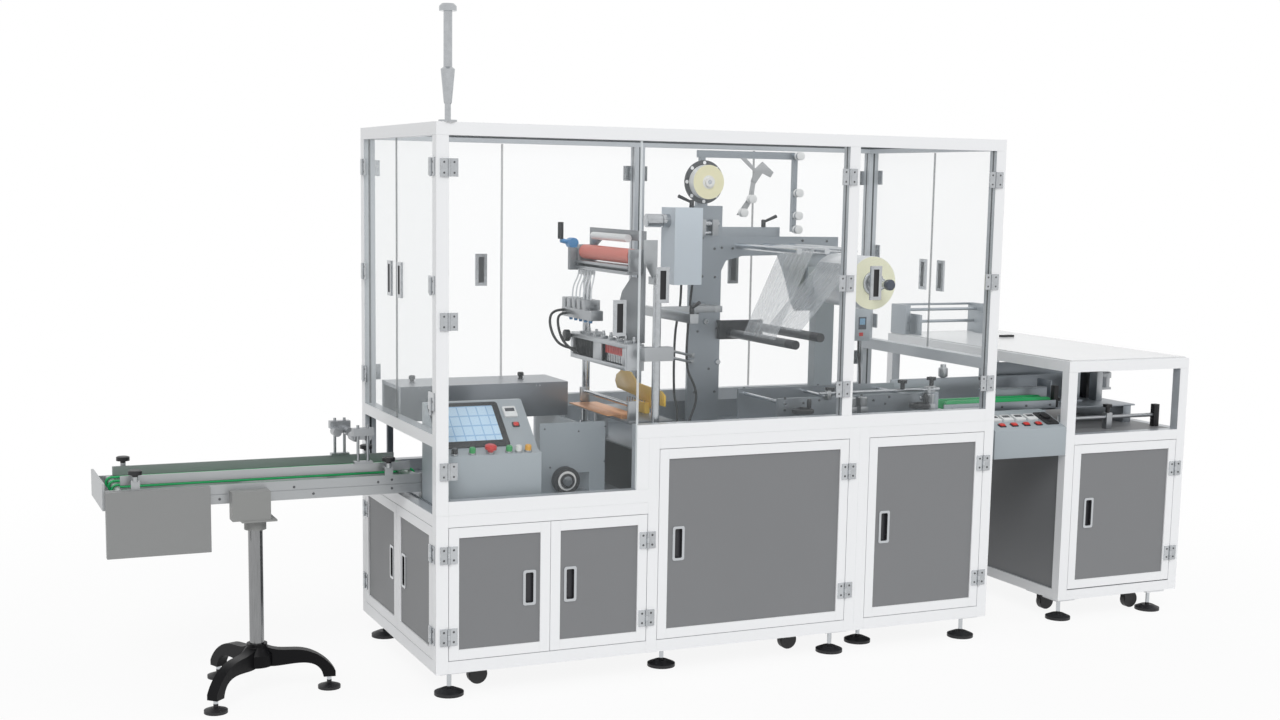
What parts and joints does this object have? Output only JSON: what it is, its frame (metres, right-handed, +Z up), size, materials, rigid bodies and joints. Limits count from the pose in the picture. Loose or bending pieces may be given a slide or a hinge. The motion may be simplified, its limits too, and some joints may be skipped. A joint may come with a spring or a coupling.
{
  "type": "cellophane overwrapping machine",
  "caption": "Overwrapping machine with cabinet, clear guards, film head, outfeed conveyor on a stand and infeed table",
  "frame": {"origin": "on the floor, at the middle of the pad under the main cabinet's front left foot", "axes": "+X along the machine from outfeed to infeed, +Y from the operator's side to the back, +Z up"},
  "size_m": [4.229, 1.413, 2.268],
  "materials": {
    "frame_white": "satin",
    "panel_grey": "fine texture",
    "sheet_grey": "satin",
    "plate_steel": "brushed",
    "bright_steel": "polished",
    "fitting_alloy": "satin",
    "clear_sheet": "clear",
    "black_part": "matt",
    "cast_black": "black enamel",
    "belt_green": "satin",
    "control_faces": "screen and buttons",
    "roller_red": "silicone",
    "cam_yellow": "glossy",
    "copper_strip": "satin",
    "film_clear": "clear film"
  },
  "bodies": {
    "machine": {"base_frame": "frame_white", "guard_frame": "frame_white", "infeed_frame": "frame_white", "deck": "plate_steel", "cabinet_panels": "panel_grey", "levelling_feet": "black_part", "casters": "black_part", "fixed_fittings": "fitting_alloy", "guard_doors": "clear_sheet", "signal_tower": "bright_steel", "outfeed_conveyor": "plate_steel", "outfeed_guides": "plate_steel", "conveyor_belts": "belt_green", "hold_down_rollers": "fitting_alloy", "stand_pole": "bright_steel", "stand_head": "sheet_grey", "stand_tripod": "cast_black", "control_housings": "sheet_grey", "console_controls": "control_faces", "discharge_hood": "sheet_grey", "discharge_guards": "sheet_grey", "sealing_station": "bright_steel", "seal_roller": "roller_red", "sealer_cams": "cam_yellow", "folder_plates": "copper_strip", "film_column": "plate_steel", "drive_covers": "sheet_grey", "film_guides": "plate_steel", "tape_support": "plate_steel", "film_web": "film_clear", "product_bed": "plate_steel", "infeed_panels": "panel_grey", "infeed_lid": "clear_sheet", "infeed_mechanism": "plate_steel", "magazine": "plate_steel"},
    "front_door_1": {"front_door_1_frame": "frame_white", "front_door_1_panel": "panel_grey"},
    "front_door_2": {"front_door_2_frame": "frame_white", "front_door_2_panel": "panel_grey"},
    "front_door_3": {"front_door_3_frame": "frame_white", "front_door_3_panel": "panel_grey"},
    "front_door_4": {"front_door_4_frame": "frame_white", "front_door_4_panel": "panel_grey"},
    "side_door_front": {"side_door_front_frame": "frame_white", "side_door_front_panel": "panel_grey"},
    "side_door_rear": {"side_door_rear_frame": "frame_white", "side_door_rear_panel": "panel_grey"},
    "table_door": {"table_door_frame": "frame_white", "table_door_panel": "panel_grey"},
    "belt_pulley": {"belt_pulley": "black_part"},
    "bed_handwheel_1": {"bed_handwheel_1": "black_part"},
    "bed_handwheel_2": {"bed_handwheel_2": "black_part"},
    "tape_reel": {"tape_reel": "film_clear"},
    "film_roll": {"film_roll": "film_clear"}
  },
  "joints": [
    {"name": "front_door_1_hinge", "type": "hinge", "parent": "machine", "child": "front_door_1", "pos_m": [-0.023, -0.072, 0.36], "axis": [0, 0, -1], "range_deg": [0, 105]},
    {"name": "front_door_2_hinge", "type": "hinge", "parent": "machine", "child": "front_door_2", "pos_m": [0.696, -0.072, 0.36], "axis": [0, 0, 1], "range_deg": [0, 105]},
    {"name": "front_door_3_hinge", "type": "hinge", "parent": "machine", "child": "front_door_3", "pos_m": [1.499, -0.072, 0.47], "axis": [0, 0, 1], "range_deg": [0, 105]},
    {"name": "front_door_4_hinge", "type": "hinge", "parent": "machine", "child": "front_door_4", "pos_m": [2.091, -0.072, 0.47], "axis": [0, 0, 1], "range_deg": [0, 105]},
    {"name": "side_door_front_hinge", "type": "hinge", "parent": "machine", "child": "side_door_front", "pos_m": [-0.072, -0.023, 0.36], "axis": [0, 0, 1], "range_deg": [0, 105]},
    {"name": "side_door_rear_hinge", "type": "hinge", "parent": "machine", "child": "side_door_rear", "pos_m": [-0.072, 0.811, 0.36], "axis": [0, 0, -1], "range_deg": [0, 105]},
    {"name": "table_door_hinge", "type": "hinge", "parent": "machine", "child": "table_door", "pos_m": [3.112, 0.02, 0.43], "axis": [0, 0, 1], "range_deg": [0, 105]},
    {"name": "belt_pulley_hinge", "type": "hinge", "parent": "machine", "child": "belt_pulley", "pos_m": [0.469, 0.134, 0.682], "axis": [0, 1, 0], "continuous": true},
    {"name": "bed_handwheel_1_hinge", "type": "hinge", "parent": "machine", "child": "bed_handwheel_1", "pos_m": [1.444, 0.184, 0.88], "axis": [0, 0, 1], "continuous": true},
    {"name": "bed_handwheel_2_hinge", "type": "hinge", "parent": "machine", "child": "bed_handwheel_2", "pos_m": [1.964, 0.184, 0.88], "axis": [0, 0, 1], "continuous": true},
    {"name": "tape_reel_hinge", "type": "hinge", "parent": "machine", "child": "tape_reel", "pos_m": [1.254, 0.654, 1.727], "axis": [0, 1, 0], "continuous": true},
    {"name": "film_roll_hinge", "type": "hinge", "parent": "machine", "child": "film_roll", "pos_m": [1.774, 0.384, 1.354], "axis": [0, 1, 0], "continuous": true}
  ]
}
